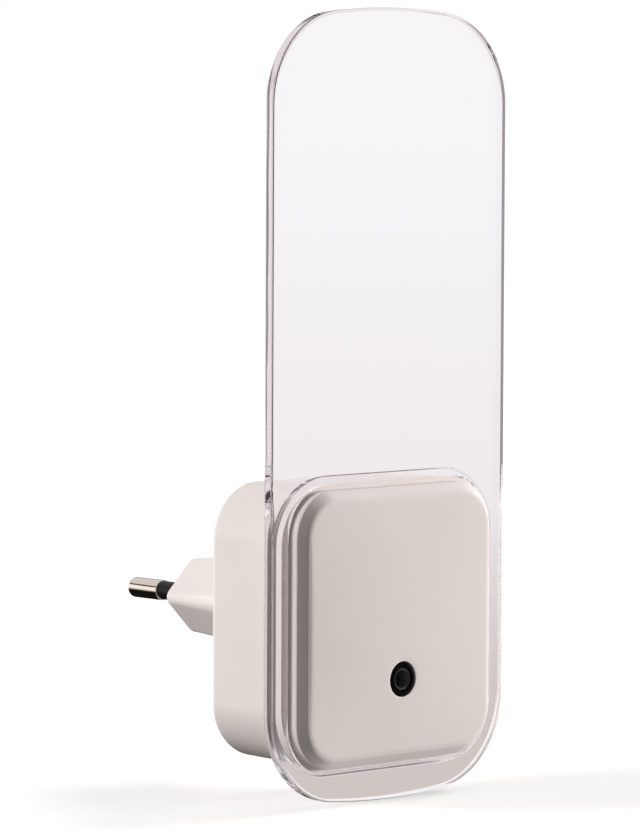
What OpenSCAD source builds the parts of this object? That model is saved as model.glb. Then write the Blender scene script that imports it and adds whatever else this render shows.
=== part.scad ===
// Plug-in night light: a white box with a two-pin mains plug at its back, a clear
// light-guide panel trapped behind its front cover, and a light sensor in the cover.
// Every part is drawn in assembly position, first as a stack: x to the right, y up,
// z from the face of the plug (z = 0) towards the viewer. stack() then stands the
// stack up: the pins point to +Y, the front faces -Y and +Z is up.

/* [Plug] */
// Distance between the two pin axes at the face of the plug
pin_pitch = 18.6; // [18:0.1:19.2]
// Lean of each pin towards the other, in degrees
pin_lean = 1.6; // [0:0.1:2]
// Diameter of the bare metal tip of a pin
pin_d = 4; // [3.9:0.02:4.1]
// Length of a pin outside the plug
pin_len = 19; // [18:0.1:20]
// Length of the insulating sleeve outside the plug
sleeve_len = 10; // [8:0.1:11]
// Outer diameter of the insulating sleeve
sleeve_d = 3.6; // [3.4:0.02:3.68]
// Rounding of the pin's end
tip_r = 1.2; // [0.8:0.1:1.6]
// Diameter of the pin inside its sleeve
core_d = 2.8; // [2.4:0.1:3]
// Diameter of the flange that stops a pin from being pulled out
flange_d = 7; // [6:0.1:7.6]
// Thickness of the pin flange
flange_t = 1.5; // [1:0.1:2]
// Width of the plug between its two pointed sides, at its face
nose_w = 35.3; // [34.6:0.1:36]
// Height of the plug at its face
nose_h = 14; // [13:0.1:14.4]
// Width between the corners of the flat top of the plug
nose_flat = 21.2; // [19:0.1:22]
// Length of the plug from its face to the back of the box
nose_len = 20.9; // [19:0.1:24]
// Radius of the long edges of the plug at its face
nose_r = 1.8; // [1.6:0.1:2.6]
// Radius of the rim of the plug face
nose_edge = 1; // [0.5:0.1:1.4]
// Draft of the plug in degrees
nose_draft = 4; // [1:0.25:4.5]
// Thickness of the plug's end wall
nose_end = 2.4; // [2:0.1:3]
// Thickness of the plug's side walls
nose_wall = 1.6; // [1.2:0.1:1.8]

/* [Box] */
// Width of the box at its front rim
body_w = 52; // [50:0.5:54]
// Height of the box at its front rim
body_h = 52.7; // [51:0.1:55]
// Depth of the box from its back to its front rim
body_depth = 18.3; // [16:0.1:24]
// Radius of the four upright corners of the box at its rim
body_r = 11.2; // [9:0.2:13]
// Draft of the box in degrees
body_draft = 1.5; // [0.5:0.25:2]
// Radius between the back and the sides of the box
body_edge = 2; // [1:0.1:3]
// Wall thickness of the box
body_wall = 2; // [1.6:0.1:2.4]
// Height of the box centre above the pins
body_rise = -2.4; // [-4:0.1:2]

/* [Light panel] */
// Width of the clear panel
panel_w = 61; // [60:0.2:70]
// Height of the clear panel
panel_h = 148; // [110:1:190]
// Distance from the pins down to the bottom edge of the panel
panel_drop = 35.9; // [34:0.1:40]
// Thickness of the clear panel
panel_t = 2.5; // [2.2:0.1:4]
// Radius of the panel corners
panel_r = 17.5; // [12:0.5:22]
// Radius of the gentle bow of the panel's top and bottom edges
panel_bow_r = 150; // [100:5:400]
// Rounding of the panel edges
panel_edge = 0.6; // [0.3:0.05:0.9]
// Reach of the clear frame on the panel's back beyond each side of the box
frame_side = 2.1; // [1.6:0.1:3]
// Reach of that frame beyond the top and the bottom of the box
frame_end = 1.5; // [1.2:0.1:2.4]
// Corner radius of the frame
frame_r = 12.8; // [11:0.2:14]
// Height of the frame behind the panel
frame_t = 1.6; // [1:0.1:2.4]
// Fillet between that frame and the panel
frame_fillet = 0.25; // [0.1:0.05:0.6]
// Depth of the recess that takes the foot of the cover
recess_t = 2; // [1.6:0.1:2.1]
// Width of the clear ledge under the foot of the cover
ledge_w = 3.6; // [3.4:0.1:4.2]

/* [Cover] */
// Inset of the cover from each side of the box
cover_side = 0.7; // [0.5:0.1:1.4]
// Inset of the cover from the top and the bottom of the box
cover_end = 0.5; // [0.4:0.1:1]
// Distance from the centre of the box down to the centre of the cover
cover_drop = 0.4; // [0:0.1:0.5]
// Radius of the cover's four corners
cover_r = 8.8; // [8:0.2:10]
// Gap round the cover that shows as a dark line
cover_gap = 1; // [0.7:0.1:1.1]
// Height of the cover above the panel
cover_rise = 3.6; // [3:0.1:7]
// Radius between the face and the sides of the cover
cover_edge = 2.1; // [1.8:0.1:3]
// Wall thickness of the cover
cover_wall = 1.6; // [1.2:0.1:2]
// Thickness of the foot of the cover
foot_t = 1.2; // [0.8:0.1:1.5]
// Clearance between the foot of the cover and the panel
foot_fit = 0.15; // [0.1:0.05:0.3]
// Thickness of the skirt that reaches into the box
skirt_t = 1.2; // [1:0.1:1.4]
// Width of each snap hook
hook_w = 6; // [4:0.5:8]
// Distance between the two snap hooks on one side
hook_pitch = 22; // [16:1:26]

/* [Light sensor] */
// Height of the sensor axis above the pins, negative is below
sensor_rise = -13; // [-17:0.1:-8]
// Diameter of the hole in the cover
sensor_hole = 6.7; // [6:0.1:8]
// Clearance between the shade tube and the hole
sensor_fit = 0.15; // [0.05:0.05:0.3]
// Depth of the shade tube's rim behind the face of the cover
sensor_recess = 0.4; // [0.2:0.1:1.2]
// Diameter of the sensor's round body
sensor_d = 4.2; // [3:0.1:4.4]

/* [Electronics] */
// Width of the circuit board
board_w = 40; // [36:0.5:41]
// Height of the circuit board
board_h = 44.4; // [42:0.2:45]
// Thickness of the circuit board
board_t = 1.6; // [1:0.1:2]
// Distance from the front rim of the box back to the circuit board
board_inset = 2.2; // [2:0.1:2.6]
// Diameter of the light-emitting diodes
led_d = 3; // [2.6:0.1:3.2]
// Distance between the diodes
led_pitch = 10; // [8:0.5:11]
// Diameter of the four posts under the circuit board
post_d = 6; // [5:0.2:7]
// Shank diameter of the self-tapping screws
screw_d = 2.2; // [1.8:0.1:2.4]

/* [Hidden] */
$fn = 64;

cover_draft = 0.4; // draft of the cover's sides, in degrees
slack = 0.05; // radial play of small parts in their holes
air = 0.3;    // play where one part only stands close to another
eps = 0.01;   // overlap inside one solid, so its pieces join
bite = 1;     // deeper overlap where a piece grows out of a wall

// Stations along the stack
box_z = nose_len;
rim_z = box_z + body_depth;
plate_z = rim_z + frame_t;
front_z = plate_z + panel_t;
face_z = front_z + cover_rise;
foot_z = front_z - recess_t;
board_z = rim_z - board_inset;
floor_z = box_z + body_wall;

// Corner centres of the box, of the cover and of the frame on the panel's back
corner = [body_w / 2 - body_r, body_h / 2 - body_r];
cap = [body_w / 2 - cover_side - cover_r, body_h / 2 - cover_end - cover_r];
frame = [body_w / 2 + frame_side - frame_r, body_h / 2 + frame_end - frame_r];

// Radii about the cover's corner centres: recess, foot, ledge and skirt
recess_r = cover_r + cover_gap;
foot_r = recess_r - foot_fit;
ledge_r = recess_r - ledge_w;
skirt_r = ledge_r - foot_fit;
skirt_x = cap[0] + skirt_r;
cover_y = body_rise - cover_drop;

board_air = 2.4; // space between the board's top edge and the box
board_mid = body_rise + body_h / 2 - body_wall - board_air - board_h / 2;
led_z = (rim_z + foot_z) / 2;
led_tip = cover_y + cap[1] + ledge_r - air;

// Corners of the plug's hexagon, before its edges are rounded
nose_pts = [[nose_w / 2 - nose_r, 0], [nose_flat / 2, nose_h / 2 - nose_r],
    [-nose_flat / 2, nose_h / 2 - nose_r], [nose_r - nose_w / 2, 0],
    [-nose_flat / 2, nose_r - nose_h / 2], [nose_flat / 2, nose_r - nose_h / 2]];

white = [0.89, 0.86, 0.84];
clear = [0.86, 0.85, 0.90, 0.4];
brass = [0.80, 0.65, 0.33];
black = [0.08, 0.08, 0.08];

// ---- Helpers ----

module stack() rotate([90, 0, 0]) children();

// Rectangle of corner centres as a list of points
function box_pts(c) = [c, [-c[0], c[1]], [-c[0], -c[1]], [c[0], -c[1]]];

// Wall of a 2D profile (x outward, y along z) carried round a convex polygon
module swept(pts) {
    n = len(pts);
    for (i = [0:n - 1]) {
        a = pts[i];
        b = pts[(i + 1) % n];
        c = pts[(i + 2) % n];
        run = norm(b - a);
        out = atan2(b[1] - a[1], b[0] - a[0]) - 90;
        turn = (atan2(c[1] - b[1], c[0] - b[0]) - 90 - out + 720) % 360;
        translate([a[0], a[1], 0]) rotate(out) translate([0, run, 0]) {
            rotate([90, 0, 0]) linear_extrude(run) children();
            rotate_extrude(angle = turn) children();
        }
    }
}

// The same, filled up to height h inside the polygon
module swept_solid(pts, h) {
    swept(pts) children();
    linear_extrude(h) polygon(pts);
}

// Profile that narrows by the draft angle and ends in a rounded edge
module drafted(r, draft, h, edge) {
    cx = r - (h - edge + edge * sin(draft)) * tan(draft) - edge * cos(draft);
    polygon([[0, 0], [r, 0], [cx + edge * cos(draft), h - edge + edge * sin(draft)],
        [cx, h], [0, h]]);
    translate([cx, h - edge]) intersection() {
        circle(edge);
        translate([-min(cx, edge), -edge]) square([min(cx, edge) + edge, 2 * edge]);
    }
}

// Places a part in the frame of one pin; side is -1 for left, 1 for right
module at_pin(side) translate([side * pin_pitch / 2, 0, 0])
    rotate([0, side * pin_lean, 0]) children();

module tube(d_out, d_in, h) difference() {
    cylinder(d = d_out, h = h);
    translate([0, 0, -1]) cylinder(d = d_in, h = h + 2);
}

// ---- Plug and box ----

seat_z = nose_end + 1; // where a pin flange sits, in the frame of the pin
seat_d = flange_d + 1.4;
plate_seat = seat_z + flange_t + 0.15;
plate_t = 2;
plate_w = 27;
plate_h = 8.6;
plate_boss_d = 5.4;
pin_tail = 2.2; // length of a pin behind the retainer
pin_play = 0.2; // play of a pin in the retainer and in its contact
retainer_hold = 2.6; // length of the retainer screw inside its boss
head_h = 1.6;   // height of a screw head, and its rounding, socket and point
head_r = 0.5;
socket_r = 0.4;
socket_t = 0.6;
point_l = 1;
inner_edge = 0.3; // rounding inside the plug's end
floor_edge = 1;   // rounding inside the box, at its floor

// Distances of the posts from the board's side, bottom and top edges
post_side = 4.2;
post_foot = 3;
post_head = 8.6;
post_x = board_w / 2 - post_side;
post_at = [for (side = [-1, 1], y = [post_foot - board_h / 2, board_h / 2 - post_head])
    [side * post_x, board_mid + y]];
screw_hold = 6.5; // length of a board screw inside its post
rib_t = 1;
rib_x = [-6, 0, 6];
rib_l = 4;
rib_gap = 2.2; // from the plug's flats to the ribs

catch_z = rim_z - 3.8;
catch_w = body_w / 2 - body_wall / 2 - skirt_x - slack;
catch_l = hook_w + 1;
hook_reach = 0.9;
hook_nose = 0.6;
hook_lead = 2;
skirt_l = 1.6; // reach of the skirt into the mouth of the box

// Drafted prism of the plug's hexagon from z = 0 to h, with radius r at z = 0
module nose_prism(r, h, edge) hull() for (p = nose_pts)
    translate([p[0], p[1], h]) mirror([0, 0, 1]) rotate_extrude($fn = 48)
        drafted(r + h * tan(nose_draft), nose_draft, h, edge, $fn = 32);

module nose_outer() nose_prism(nose_r, box_z + body_wall / 2, nose_edge);

module nose_inner() translate([0, 0, nose_end])
    nose_prism(nose_r - nose_wall + nose_end * tan(nose_draft),
        floor_z - nose_end + 2 * bite, inner_edge);

module box_outer() translate([0, body_rise, rim_z]) mirror([0, 0, 1])
    swept_solid(box_pts(corner), body_depth)
        drafted(body_r, body_draft, body_depth, body_edge);

module box_inner() translate([0, body_rise, rim_z + bite]) mirror([0, 0, 1])
    swept_solid(box_pts(corner), body_depth - body_wall + bite)
        drafted(body_r - body_wall + bite * tan(body_draft), body_draft,
            body_depth - body_wall + bite, floor_edge);

// A post for a board screw, with two small ribs at its foot
module board_post() difference() {
    union() {
        translate([0, 0, box_z + bite])
            cylinder(d = post_d, h = board_z - board_t - box_z - bite);
        for (a = [0, 90]) rotate(a)
            translate([-post_d / 2 - rib_t, -rib_t / 2, box_z + bite])
                cube([post_d + 2 * rib_t, rib_t, post_d]);
    }
    translate([0, 0, board_z - board_t - screw_hold - screw_d])
        cylinder(d = screw_d + 2 * slack, h = screw_hold + screw_d + bite);
}

// Hollow box and plug in one moulding
module case_shell() difference() {
    union() {
        difference() {
            box_outer();
            box_inner();
        }
        nose_outer();
    }
    nose_inner();
}

module rear_housing() color(white) stack() difference() {
    union() {
        case_shell();
        // seats of the two pins and the boss of the retainer screw
        for (side = [-1, 1]) at_pin(side)
            translate([0, 0, nose_end - bite]) cylinder(d = seat_d, h = seat_z - nose_end + bite);
        translate([0, 0, nose_end - bite])
            cylinder(d = plate_boss_d, h = plate_seat - nose_end + bite);
        for (p = post_at) translate([p[0], p[1], 0]) board_post();
        // catches for the four hooks of the cover, which also guide its skirt
        for (side = [-1, 1], up = [-1, 1])
            translate([side * (skirt_x + slack + catch_w / 2),
                body_rise + up * hook_pitch / 2, (catch_z + rim_z - air) / 2])
                cube([catch_w, catch_l, rim_z - air - catch_z], center = true);
        // ribs that stiffen the back wall above and below the plug
        for (x = rib_x, up = [-1, 1])
            translate([x, up * (nose_h / 2 + rib_gap + rib_l / 2), box_z + body_wall])
                cube([rib_t, rib_l, 2 * bite], center = true);
    }
    for (side = [-1, 1]) at_pin(side)
        translate([0, 0, -bite]) cylinder(d = sleeve_d + 2 * slack, h = seat_z + 2 * bite);
    translate([0, 0, plate_seat - retainer_hold - air])
        cylinder(d = screw_d + 2 * slack, h = retainer_hold + air + bite);
}

module pin() {
    translate([0, 0, -sleeve_len - eps])
        cylinder(d = core_d, h = sleeve_len + eps + seat_z + flange_t + plate_t + pin_tail);
    translate([0, 0, seat_z]) cylinder(d = flange_d, h = flange_t);
    translate([0, 0, -pin_len]) rotate_extrude() {
        r = pin_d / 2;
        square([r - tip_r, tip_r + eps]);
        translate([0, tip_r]) square([r, pin_len - sleeve_len - tip_r]);
        translate([r - tip_r, tip_r]) intersection() {
            circle(tip_r);
            translate([tip_r - r, -tip_r]) square([r, tip_r + eps]);
        }
    }
}

module sleeve() translate([0, 0, -sleeve_len])
    tube(sleeve_d, core_d + slack, sleeve_len + seat_z);

module left_pin() color([0.85, 0.82, 0.78]) stack() at_pin(-1) pin();
module right_pin() color([0.85, 0.82, 0.78]) stack() at_pin(1) pin();
module left_sleeve() color(black) stack() at_pin(-1) sleeve();
module right_sleeve() color(black) stack() at_pin(1) sleeve();

module pin_retainer() color([0.75, 0.75, 0.72]) stack() difference() {
    translate([-plate_w / 2 + plate_h / 2, 0, plate_seat]) linear_extrude(plate_t) {
        circle(d = plate_h);
        translate([0, -plate_h / 2]) square([plate_w - plate_h, plate_h]);
        translate([plate_w - plate_h, 0]) circle(d = plate_h);
    }
    for (side = [-1, 1]) at_pin(side)
        translate([0, 0, seat_z]) cylinder(d = core_d + 2 * pin_play, h = flange_t + plate_t + bite);
    translate([0, 0, plate_seat - bite])
        cylinder(d = screw_d + 2 * slack, h = plate_t + 2 * bite);
}

// Pan-head screw that points down the stack, head seated at z = 0
module screw(l) {
    rotate_extrude() difference() {
        union() {
            square([screw_d, head_h - head_r]);
            square([screw_d - head_r, head_h]);
            intersection() {
                translate([screw_d - head_r, head_h - head_r]) circle(head_r);
                square([screw_d, head_h]);
            }
        }
        translate([-head_r, head_h - socket_t]) square([head_r + socket_r, socket_t + bite]);
    }
    translate([0, 0, -l + point_l]) cylinder(d = screw_d, h = l - point_l);
    translate([0, 0, -l]) cylinder(d1 = screw_d / 3, d2 = screw_d, h = point_l);
}

module retainer_screw() color([0.75, 0.76, 0.78]) stack()
    translate([0, 0, plate_seat + plate_t]) screw(plate_t + retainer_hold);

// ---- Front ----

// Outline of the panel: straight sides, four round corners, bowed top and bottom
bow_z = sqrt(pow(panel_bow_r - panel_r, 2) - pow(panel_w / 2 - panel_r, 2));
bow_rise = panel_bow_r - bow_z - panel_r;
panel_mid = panel_h / 2 - panel_drop;
panel_c = [panel_w / 2 - panel_r, panel_h / 2 - panel_r - bow_rise];
bow_half = asin(panel_c[0] / (panel_bow_r - panel_r));

// Edge of the panel: its rounded rim at radius r and a strip w inside it
module edge_profile(r, w) {
    e = panel_edge;
    translate([r - w, 0]) square([w - e, panel_t]);
    translate([r - w, e]) square([w, panel_t - 2 * e]);
    for (y = [e, panel_t - e]) translate([r - e, y]) circle(e, $fn = 20);
}

module panel_plate() hull() {
    for (sx = [-1, 1], sy = [-1, 1]) translate([sx * panel_c[0], sy * panel_c[1], 0])
        rotate_extrude() edge_profile(panel_r, panel_r - bite);
    for (end = [0, 1]) mirror([0, end, 0]) translate([0, panel_c[1] - bow_z, 0])
        rotate_extrude(start = 90 - bow_half, angle = 2 * bow_half, $fn = 360)
            edge_profile(panel_bow_r, 2 * bite);
}

// Frame on the back of the panel, with a small fillet where it meets the plate
module frame_profile() {
    f = frame_fillet;
    square([frame_r, frame_t + eps]);
    translate([frame_r, frame_t - f]) difference() {
        translate([-eps, 0]) square([f + eps, f + eps]);
        translate([f, 0]) circle(f);
    }
}

module light_panel() color(clear) stack() difference() {
    union() {
        translate([0, panel_mid, plate_z]) panel_plate();
        translate([0, body_rise, rim_z])
            swept_solid(box_pts(frame), frame_t + eps) frame_profile();
    }
    translate([0, cover_y, foot_z])
        swept_solid(box_pts(cap), recess_t + bite) square([recess_r, recess_t + bite]);
    translate([0, cover_y, rim_z - bite])
        swept_solid(box_pts(cap), front_z - rim_z + 2 * bite)
            square([ledge_r, front_z - rim_z + 2 * bite]);
}

module cover_shell() {
    // foot that lies in the recess of the panel
    swept(box_pts(cap)) translate([skirt_r - skirt_t, 0])
        square([foot_r - skirt_r + skirt_t, foot_t]);
    // pillow-shaped cap
    difference() {
        swept_solid(box_pts(cap), face_z - foot_z)
            drafted(cover_r, cover_draft, face_z - foot_z, cover_edge);
        translate([0, 0, -bite])
            swept_solid(box_pts(cap), face_z - foot_z - cover_wall + bite)
                drafted(cover_r - cover_wall, cover_draft, face_z - foot_z - cover_wall + bite,
                    max(inner_edge, cover_edge - cover_wall));
    }
}

module front_cover() color(white) stack() difference() {
    union() {
        translate([0, cover_y, foot_z]) cover_shell();
        // skirt through the window of the panel into the mouth of the box
        translate([0, cover_y, rim_z - skirt_l]) swept(box_pts(cap))
            translate([skirt_r - skirt_t, 0]) square([skirt_t, foot_z - rim_z + skirt_l + foot_t]);
        // four snap hooks
        for (side = [-1, 1], up = [-1, 1])
            translate([side * skirt_x, body_rise + up * hook_pitch / 2, 0])
                rotate([90, 0, 0]) translate([0, 0, -hook_w / 2]) linear_extrude(hook_w)
                    polygon([[0, rim_z], [0, catch_z - air], [side * hook_reach, catch_z - air],
                        [side * hook_reach, catch_z - air - hook_nose],
                        [0, catch_z - air - hook_lead], [-side * skirt_t, catch_z - air - hook_lead],
                        [-side * skirt_t, rim_z]]);
        // collar round the light sensor's hole, on the inside
        translate([0, sensor_rise, face_z - cover_wall - collar_h])
            cylinder(d = sensor_hole + 2 * collar_t, h = collar_h + eps);
    }
    translate([0, sensor_rise, face_z - cover_wall - collar_h - bite])
        cylinder(d = sensor_hole, h = cover_wall + collar_h + 2 * bite);
    // opening in the skirt that lets the light of the diodes into the panel
    translate([-light_gate / 2, led_tip - led_d, rim_z - skirt_l - air])
        cube([light_gate, led_d + air, led_z + led_d / 2 + 2 * air - rim_z + skirt_l]);
}

module sensor_shade() color(black) stack()
    translate([0, sensor_rise, board_z]) rotate_extrude() {
        r_out = sensor_hole / 2 - sensor_fit;
        r_in = sensor_d / 2 + slack;
        top = face_z - sensor_recess - board_z;
        difference() {
            translate([r_in, 0]) square([r_out - r_in, top]);
            // flared mouth and rounded rim
            polygon([[r_in - eps, top - mouth_t], [r_in - eps, top + eps], [r_in + mouth_r, top + eps]]);
            translate([r_out - mouth_edge, top - mouth_edge]) difference() {
                square(2 * mouth_edge);
                circle(mouth_edge);
            }
        }
    }

module light_sensor() color([0.12, 0.12, 0.14]) stack()
    translate([0, sensor_rise, 0]) {
        top = face_z - sensor_recess - sensor_sink - sensor_d / 4;
        translate([0, 0, top - sensor_l]) cylinder(d = sensor_d, h = sensor_l);
        translate([0, 0, top]) intersection() {
            cylinder(d = sensor_d, h = sensor_d);
            translate([0, 0, -0.375 * sensor_d]) sphere(d = 1.25 * sensor_d);
        }
        for (side = [-1, 1])
            translate([side * lead_pitch / 2, 0, board_z - board_t - lead_end])
                cylinder(d = lead_d, h = top - sensor_l - board_z + board_t + lead_end + eps);
    }

// ---- Electronics ----

lead_d = 0.6;
lead_hole = 0.9;
lead_pitch = 2.54;
lead_end = 0.8; // length of a lead beyond the board
light_gate = 2 * led_pitch + led_d + 2 * lead_pitch;
contact_w = 3;
contact_t = 0.5;
contact_d = 6.2;
contact_z = plate_seat + plate_t;
contact_gap = 1.2; // from the retainer screw's head to the strips
contact_y = screw_d + contact_gap;
slot_play = 0.1;
screw_play = 0.2;
board_chamfer = 3.5;
collar_h = 1.4; // collar round the sensor's hole
collar_t = 1.2;
mouth_t = 0.5;  // flare and rim of the shade tube
mouth_r = 0.3;
mouth_edge = 0.3;
sensor_l = 5;
sensor_sink = 0.3; // depth of the sensor's dome behind the rim of its shade

led_flange = 1;
led_brim = 0.4;
led_bend = 1.4; // from a diode's flange to the bend of its leads
led_base = led_tip - 1.8 * led_d;
holder_wall = 0.6;
holder_h = 2.6;
sensor_leads = [for (side = [-1, 1]) [side * lead_pitch / 2, sensor_rise]];
led_leads = [for (i = [-1:1], side = [-1, 1])
    [i * led_pitch + side * lead_pitch / 2, led_base - led_bend]];

// Components on the back of the board, placed from the diodes and the board's centre
film_size = [18, 6, 10];
film_at = [0, led_base - led_bend - lead_d - film_size[1] / 2];
film_pitch = 15;
elco_at = [10.5, board_mid - 14.4];
elco_d = 8;
elco_h = 9.6;
elco_pitch = 3.5;
elco_groove = 0.6;
bridge_at = [-9.5, board_mid - 13.4];
bridge_size = [8.4, 6.4, 3.2];
bridge_pitch = 5.08;
fuse_at = [0, board_mid - 7];
bleed_at = [0, board_mid + 7.9];
resistor_pitch = 11;
resistor_l = 6.4;
resistor_d = 1.9;
resistor_cap_d = 2.4;
resistor_cap_l = 1.6;
transistor_at = [0, board_mid - 17.9];
transistor_d = 4.8;
transistor_h = 4.6;
transistor_stand = 2;

function pair(at, pitch) = [at - [pitch / 2, 0], at + [pitch / 2, 0]];
film_leads = pair(film_at, film_pitch);
elco_leads = pair(elco_at, elco_pitch);
bridge_leads = [for (sx = [-1, 1], sy = [-1, 1]) bridge_at + [sx, sy] * bridge_pitch / 2];
fuse_leads = pair(fuse_at, resistor_pitch);
bleed_leads = pair(bleed_at, resistor_pitch);
transistor_leads = [for (i = [-1:1]) transistor_at + [i * lead_pitch / 2, 0]];

module circuit_board() color([0.80, 0.72, 0.50]) stack() difference() {
    translate([0, board_mid, board_z - board_t]) linear_extrude(board_t) difference() {
        square([board_w, board_h], center = true);
        for (sx = [-1, 1], sy = [-1, 1])
            translate([sx * board_w / 2, sy * board_h / 2]) rotate(45)
                square(sqrt(2) * board_chamfer, center = true);
    }
    for (p = post_at) translate([p[0], p[1], board_z - board_t - bite])
        cylinder(d = screw_d + 2 * screw_play, h = board_t + 2 * bite);
    for (p = concat(sensor_leads, led_leads, film_leads, elco_leads, bridge_leads,
        fuse_leads, bleed_leads, transistor_leads))
        translate([p[0], p[1], board_z - board_t - bite])
            cylinder(d = lead_hole, h = board_t + 2 * bite);
    for (side = [-1, 1])
        translate([side * pin_pitch / 2 - contact_w / 2 - slot_play, contact_y - slot_play,
            board_z - board_t - bite])
            cube([contact_w + 2 * slot_play, contact_t + 2 * slot_play, board_t + 2 * bite]);
}

module board_screws() color([0.75, 0.76, 0.78]) stack()
    for (p = post_at) translate([p[0], p[1], board_z]) screw(board_t + screw_hold);

// Brass strip from a pin tail, over the edge of the retainer, up to the board
module contact(side) stack() {
    difference() {
        translate([side * pin_pitch / 2, 0, contact_z]) linear_extrude(contact_t) {
            circle(d = contact_d);
            translate([-contact_w / 2, 0]) square([contact_w, contact_y + contact_t]);
        }
        at_pin(side) translate([0, 0, seat_z])
            cylinder(d = core_d + 2 * pin_play, h = contact_z + contact_t + bite - seat_z);
    }
    translate([side * pin_pitch / 2 - contact_w / 2, contact_y, contact_z])
        cube([contact_w, contact_t, board_z + lead_end - contact_z]);
}

module left_contact() color(brass) contact(-1);
module right_contact() color(brass) contact(1);

module led_holder() color([0.93, 0.93, 0.90]) stack() difference() {
    translate([air - light_gate / 2, led_base + led_flange, board_z])
        cube([light_gate - 2 * air, holder_h, led_z - board_z + led_d / 2 + holder_wall]);
    for (i = [-1:1]) translate([i * led_pitch, led_base, led_z])
        rotate([-90, 0, 0]) cylinder(d = led_d + 2 * slack, h = led_flange + holder_h + bite);
}

// One diode: flange, round body with a domed lens, two bent leads
module led(i) color([0.95, 0.95, 0.80]) stack() {
    translate([i * led_pitch, led_base, led_z]) rotate([-90, 0, 0]) {
        cylinder(d = led_d + 2 * led_brim, h = led_flange);
        cylinder(d = led_d, h = led_tip - led_base - led_d / 2);
        translate([0, 0, led_tip - led_base - led_d / 2]) sphere(d = led_d);
    }
    for (side = [-1, 1])
        translate([i * led_pitch + side * lead_pitch / 2, led_base - led_bend, 0]) {
            translate([0, 0, board_z - board_t - lead_end])
                cylinder(d = lead_d, h = led_z - board_z + board_t + lead_end);
            translate([0, 0, led_z]) sphere(d = lead_d);
            translate([0, 0, led_z]) rotate([-90, 0, 0])
                cylinder(d = lead_d, h = led_bend + eps);
        }
}

module left_led() led(-1);
module middle_led() led(0);
module right_led() led(1);

// Leads that pass from a component through the board and a little beyond
module leads(pts, from) for (p = pts) translate([p[0], p[1], from])
    cylinder(d = lead_d, h = board_z + lead_end - from);

module film_capacitor() color([0.85, 0.70, 0.20]) stack() {
    translate([film_at[0], film_at[1], board_z - board_t - film_size[2] / 2])
        cube(film_size, center = true);
    leads(film_leads, board_z - board_t - eps);
}

module smoothing_capacitor() color([0.15, 0.17, 0.28]) stack() {
    translate([elco_at[0], elco_at[1], board_z - board_t - elco_h]) rotate_extrude()
        difference() {
            square([elco_d / 2, elco_h]);
            translate([elco_d / 2 + elco_groove / 2, elco_h - 3 * elco_groove]) circle(elco_groove);
        }
    leads(elco_leads, board_z - board_t - eps);
}

module bridge_rectifier() color(black) stack() {
    translate([bridge_at[0], bridge_at[1], board_z - board_t - bridge_size[2] / 2])
        cube(bridge_size, center = true);
    leads(bridge_leads, board_z - board_t - eps);
}

// Axial resistor that lies along x, its leads bent up to the board
module resistor(at) stack() {
    z = board_z - board_t - resistor_cap_d / 2 - air;
    translate([at[0], at[1], z]) rotate([0, 90, 0]) {
        rotate_extrude() {
            translate([0, -resistor_l / 2]) square([resistor_d / 2, resistor_l]);
            for (end = [-1, 1]) translate([0, (end * (resistor_l - resistor_cap_l) - resistor_cap_l) / 2])
                square([resistor_cap_d / 2, resistor_cap_l]);
        }
        cylinder(d = lead_d, h = resistor_pitch, center = true);
    }
    for (p = pair(at, resistor_pitch)) translate([p[0], p[1], z]) sphere(d = lead_d);
    leads(pair(at, resistor_pitch), z);
}

module fuse_resistor() color([0.35, 0.55, 0.45]) resistor(fuse_at);
module bleed_resistor() color([0.80, 0.70, 0.55]) resistor(bleed_at);

module switching_transistor() color(black) stack() {
    translate([transistor_at[0], transistor_at[1],
        board_z - board_t - transistor_stand - transistor_h])
        linear_extrude(transistor_h) intersection() {
            circle(d = transistor_d);
            translate([-transistor_d / 2, -transistor_d / 4])
                square([transistor_d, 3 / 4 * transistor_d]);
        }
    leads(transistor_leads, board_z - board_t - transistor_stand - eps);
}

rear_housing();
front_cover();
light_panel();
left_pin();
right_pin();
left_sleeve();
right_sleeve();
pin_retainer();
retainer_screw();
left_contact();
right_contact();
circuit_board();
board_screws();
led_holder();
left_led();
middle_led();
right_led();
sensor_shade();
light_sensor();
film_capacitor();
smoothing_capacitor();
bridge_rectifier();
fuse_resistor();
bleed_resistor();
switching_transistor();
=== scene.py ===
# %% [markdown]
# # A plug-in night light, dressed for its picture
#
# The light is a white box that plugs into the wall, a pillow-shaped cover on its front, and
# between the two a tall panel of clear acrylic. Diodes in the box shine into the edge of
# the panel's window and the whole panel glows. The engineering model already holds every
# part at its true size. This lesson gives the parts their surfaces: satin mouldings, clear
# plastic with soft edges, plated pins, a smoky sensor, and the electronics inside.

# %% Load the engineering model
import math

import bmesh
import bpy
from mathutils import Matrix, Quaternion, Vector


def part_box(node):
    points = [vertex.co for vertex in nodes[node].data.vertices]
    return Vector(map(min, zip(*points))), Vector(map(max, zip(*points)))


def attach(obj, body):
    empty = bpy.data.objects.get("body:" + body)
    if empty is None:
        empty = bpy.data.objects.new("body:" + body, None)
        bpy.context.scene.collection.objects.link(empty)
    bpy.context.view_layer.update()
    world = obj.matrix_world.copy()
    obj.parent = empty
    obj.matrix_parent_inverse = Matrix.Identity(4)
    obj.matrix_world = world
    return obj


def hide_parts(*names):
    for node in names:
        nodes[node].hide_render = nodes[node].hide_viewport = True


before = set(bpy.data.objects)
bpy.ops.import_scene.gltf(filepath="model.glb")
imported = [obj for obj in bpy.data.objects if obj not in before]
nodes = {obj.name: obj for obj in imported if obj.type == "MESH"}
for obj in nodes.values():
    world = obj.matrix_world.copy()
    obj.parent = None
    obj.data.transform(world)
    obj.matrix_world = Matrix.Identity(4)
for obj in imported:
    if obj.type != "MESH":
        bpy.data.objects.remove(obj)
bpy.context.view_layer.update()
MM = 0.001
print("parts in the model:", len(nodes))

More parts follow.
